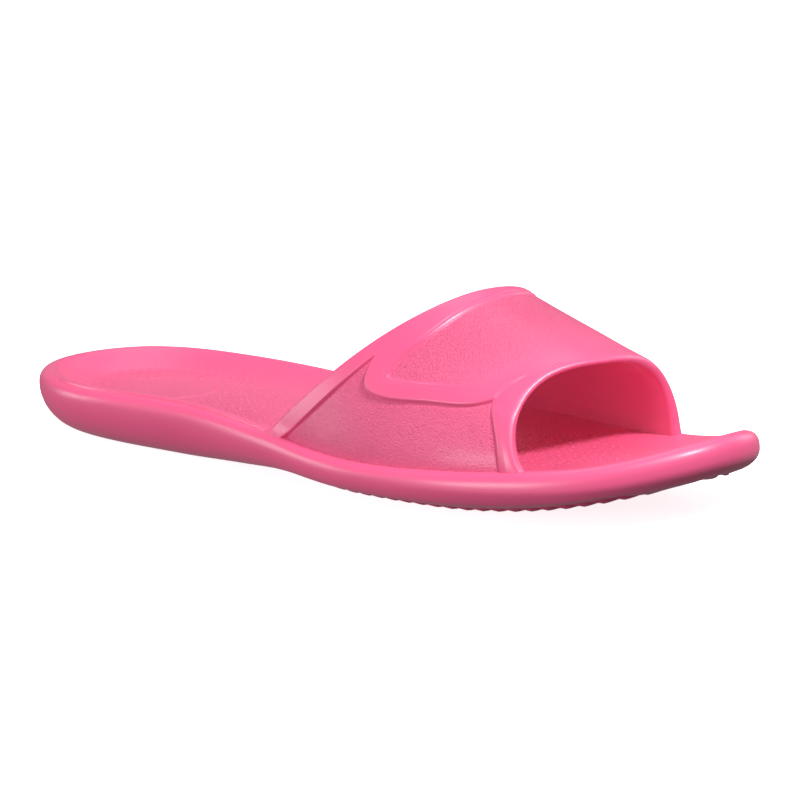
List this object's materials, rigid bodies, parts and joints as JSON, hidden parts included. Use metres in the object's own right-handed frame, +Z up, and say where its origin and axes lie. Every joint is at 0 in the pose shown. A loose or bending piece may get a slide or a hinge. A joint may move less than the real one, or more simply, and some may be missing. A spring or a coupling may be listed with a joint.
{
  "type": "bath slipper",
  "caption": "Moulded foam slide for the right foot, open at toe and heel, with a contoured sole, a cupped heel, a sprung toe and a wide hollow strap over the instep.",
  "frame": {"origin": "on the floor, under the middle of the slide's length and width", "axes": "+X from heel to toe, +Y to the medial side, +Z up from the floor"},
  "size_m": [0.25, 0.0866, 0.0576],
  "materials": {
    "foam": "satin pink moulded foam with a fine grain"
  },
  "bodies": {
    "root": {"sole": "foam", "upper": "foam"}
  },
  "joints": []
}
